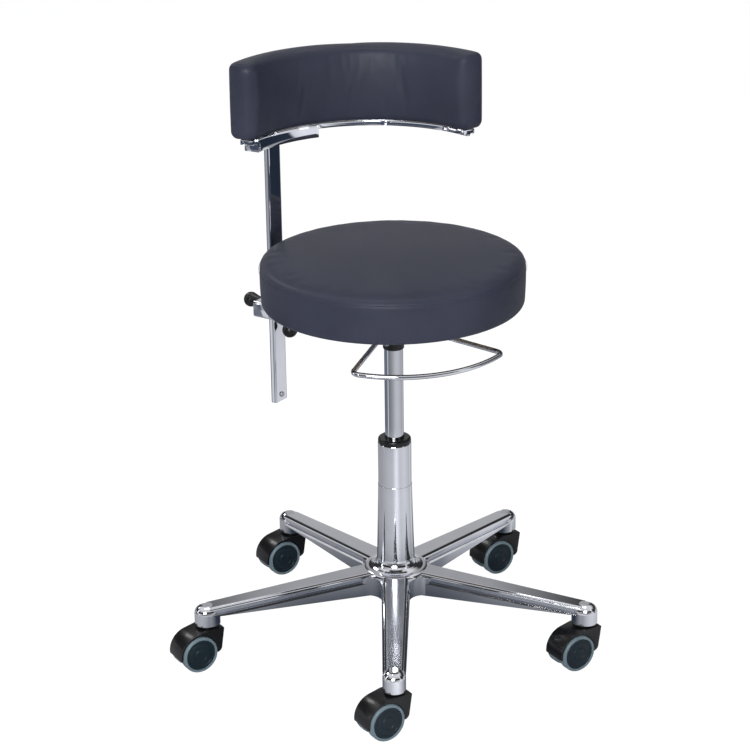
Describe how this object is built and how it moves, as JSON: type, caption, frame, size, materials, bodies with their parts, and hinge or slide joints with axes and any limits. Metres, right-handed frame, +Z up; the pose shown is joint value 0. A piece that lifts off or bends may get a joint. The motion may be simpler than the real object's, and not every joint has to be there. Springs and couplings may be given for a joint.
{
  "type": "doctors chair",
  "caption": "Swivelling doctor's chair with a round padded seat on a gas lift, a five-leg castor base, a release loop and a curved back pad on a sliding rail.",
  "frame": {"origin": "point on the floor on the column's axis", "axes": "+Z up along the column, -Y towards the front of the chair, +X to the right as seen from the front"},
  "size_m": [0.6411, 0.6065, 0.8762],
  "materials": {
    "chrome": "bright chromium plate",
    "cast_aluminium": "polished cast aluminium",
    "steel": "zinc plated steel",
    "black_plastic": "moulded black plastic",
    "slate_plastic": "slate grey moulded wheel",
    "leatherette": "satin",
    "plywood": "moulded plywood"
  },
  "bodies": {
    "base": {"star_base": "cast_aluminium", "column_tube": "chrome", "guide_collar": "black_plastic", "castor1_stem": "steel", "castor2_stem": "steel", "castor3_stem": "steel", "castor4_stem": "steel", "castor5_stem": "steel"},
    "spindle": {"piston_rod": "steel", "thrust_bearing": "steel", "rod_clip": "steel"},
    "seat": {"gas_cylinder": "chrome", "cone_cap": "black_plastic", "seat_carrier": "steel", "seat_board": "plywood", "seat_cushion": "leatherette", "seat_screws": "steel"},
    "lever": {"release_loop": "chrome"},
    "button": {"release_pin": "steel"},
    "arm": {"arm_tube": "chrome", "post_clamp": "chrome"},
    "arm_knob_body": {"arm_knob": "black_plastic", "arm_knob_stud": "steel"},
    "post_knob_body": {"post_knob": "black_plastic", "post_knob_stud": "steel"},
    "post_body": {"post": "chrome", "post_stop": "steel", "rail_holder": "chrome", "holder_screw": "chrome"},
    "pad": {"pad_rail": "chrome", "rail_stops": "steel", "pad_core": "steel", "pad_cushion": "leatherette", "pad_screws": "chrome"},
    "castor1": {"castor1_hood": "black_plastic", "castor1_axle": "steel"},
    "castor1_wa": {"castor1_wheel_a": "slate_plastic"},
    "castor1_wb": {"castor1_wheel_b": "slate_plastic"},
    "castor2": {"castor2_hood": "black_plastic", "castor2_axle": "steel"},
    "castor2_wa": {"castor2_wheel_a": "slate_plastic"},
    "castor2_wb": {"castor2_wheel_b": "slate_plastic"},
    "castor3": {"castor3_hood": "black_plastic", "castor3_axle": "steel"},
    "castor3_wa": {"castor3_wheel_a": "slate_plastic"},
    "castor3_wb": {"castor3_wheel_b": "slate_plastic"},
    "castor4": {"castor4_hood": "black_plastic", "castor4_axle": "steel"},
    "castor4_wa": {"castor4_wheel_a": "slate_plastic"},
    "castor4_wb": {"castor4_wheel_b": "slate_plastic"},
    "castor5": {"castor5_hood": "black_plastic", "castor5_axle": "steel"},
    "castor5_wa": {"castor5_wheel_a": "slate_plastic"},
    "castor5_wb": {"castor5_wheel_b": "slate_plastic"}
  },
  "joints": [
    {"name": "seat_swivel", "type": "hinge", "parent": "base", "child": "spindle", "pos_m": [0, 0, 0.2], "axis": [0, 0, 1], "continuous": true},
    {"name": "seat_lift", "type": "slide", "parent": "spindle", "child": "seat", "axis": [0, 0, 1], "range_m": [-0.125, 0]},
    {"name": "loop_pull", "type": "hinge", "parent": "seat", "child": "lever", "pos_m": [0.0162, -0.0473, 0.502], "axis": [-0.9461, -0.3239, 0], "range_deg": [0, 5], "stiffness_Nm_per_rad": 8, "springref_deg": -6.88},
    {"name": "pin_press", "type": "slide", "parent": "seat", "child": "button", "axis": [0, 0, -1], "range_m": [0, 0.0045], "stiffness_N_per_m": 300, "springref_m": -0.005},
    {"name": "arm_depth", "type": "slide", "parent": "seat", "child": "arm", "axis": [-0.829, 0.5592, 0], "range_m": [-0.003, 0.06]},
    {"name": "arm_knob_turn", "type": "hinge", "parent": "seat", "child": "arm_knob_body", "pos_m": [-0.15462, 0.10429, 0.4602], "axis": [0, 0, -1], "range_deg": [0, 360]},
    {"name": "post_knob_turn", "type": "hinge", "parent": "arm", "child": "post_knob_body", "pos_m": [-0.21141, 0.14259, 0.4952], "axis": [-0.829, 0.5592, 0], "range_deg": [0, 360]},
    {"name": "post_height", "type": "slide", "parent": "arm", "child": "post_body", "axis": [0, 0, 1], "range_m": [-0.1, 0.12]},
    {"name": "pad_turn", "type": "hinge", "parent": "post_body", "child": "pad", "pos_m": [-0.03295, -0.01419, 0.76], "axis": [0, 0, 1], "range_deg": [0, 68]},
    {"name": "castor1_swivel", "type": "hinge", "parent": "base", "child": "castor1", "pos_m": [-0.00667, -0.29392, 0.06], "axis": [0, 0, 1], "continuous": true},
    {"name": "castor1_spin_a", "type": "hinge", "parent": "castor1", "child": "castor1_wa", "pos_m": [-0.02702, -0.30664, 0.028], "axis": [-0.5299, 0.848, 0], "continuous": true},
    {"name": "castor1_spin_b", "type": "hinge", "parent": "castor1", "child": "castor1_wb", "pos_m": [-0.02702, -0.30664, 0.028], "axis": [-0.5299, 0.848, 0], "continuous": true},
    {"name": "castor2_swivel", "type": "hinge", "parent": "base", "child": "castor2", "pos_m": [-0.2816, -0.08448, 0.06], "axis": [0, 0, 1], "continuous": true},
    {"name": "castor2_spin_a", "type": "hinge", "parent": "castor2", "child": "castor2_wa", "pos_m": [-0.30195, -0.0972, 0.028], "axis": [-0.5299, 0.848, 0], "continuous": true},
    {"name": "castor2_spin_b", "type": "hinge", "parent": "castor2", "child": "castor2_wb", "pos_m": [-0.30195, -0.0972, 0.028], "axis": [-0.5299, 0.848, 0], "continuous": true},
    {"name": "castor3_swivel", "type": "hinge", "parent": "base", "child": "castor3", "pos_m": [-0.16737, 0.24171, 0.06], "axis": [0, 0, 1], "continuous": true},
    {"name": "castor3_spin_a", "type": "hinge", "parent": "castor3", "child": "castor3_wa", "pos_m": [-0.18772, 0.22899, 0.028], "axis": [-0.5299, 0.848, 0], "continuous": true},
    {"name": "castor3_spin_b", "type": "hinge", "parent": "castor3", "child": "castor3_wb", "pos_m": [-0.18772, 0.22899, 0.028], "axis": [-0.5299, 0.848, 0], "continuous": true},
    {"name": "castor4_swivel", "type": "hinge", "parent": "base", "child": "castor4", "pos_m": [0.17816, 0.23387, 0.06], "axis": [0, 0, 1], "continuous": true},
    {"name": "castor4_spin_a", "type": "hinge", "parent": "castor4", "child": "castor4_wa", "pos_m": [0.15781, 0.22115, 0.028], "axis": [-0.5299, 0.848, 0], "continuous": true},
    {"name": "castor4_spin_b", "type": "hinge", "parent": "castor4", "child": "castor4_wb", "pos_m": [0.15781, 0.22115, 0.028], "axis": [-0.5299, 0.848, 0], "continuous": true},
    {"name": "castor5_swivel", "type": "hinge", "parent": "base", "child": "castor5", "pos_m": [0.27748, -0.09717, 0.06], "axis": [0, 0, 1], "continuous": true},
    {"name": "castor5_spin_a", "type": "hinge", "parent": "castor5", "child": "castor5_wa", "pos_m": [0.25712, -0.10989, 0.028], "axis": [-0.5299, 0.848, 0], "continuous": true},
    {"name": "castor5_spin_b", "type": "hinge", "parent": "castor5", "child": "castor5_wb", "pos_m": [0.25712, -0.10989, 0.028], "axis": [-0.5299, 0.848, 0], "continuous": true}
  ],
  "couplings": [
    {"joint": "pin_press", "follows": "loop_pull", "m_per_rad": 0.05}
  ]
}
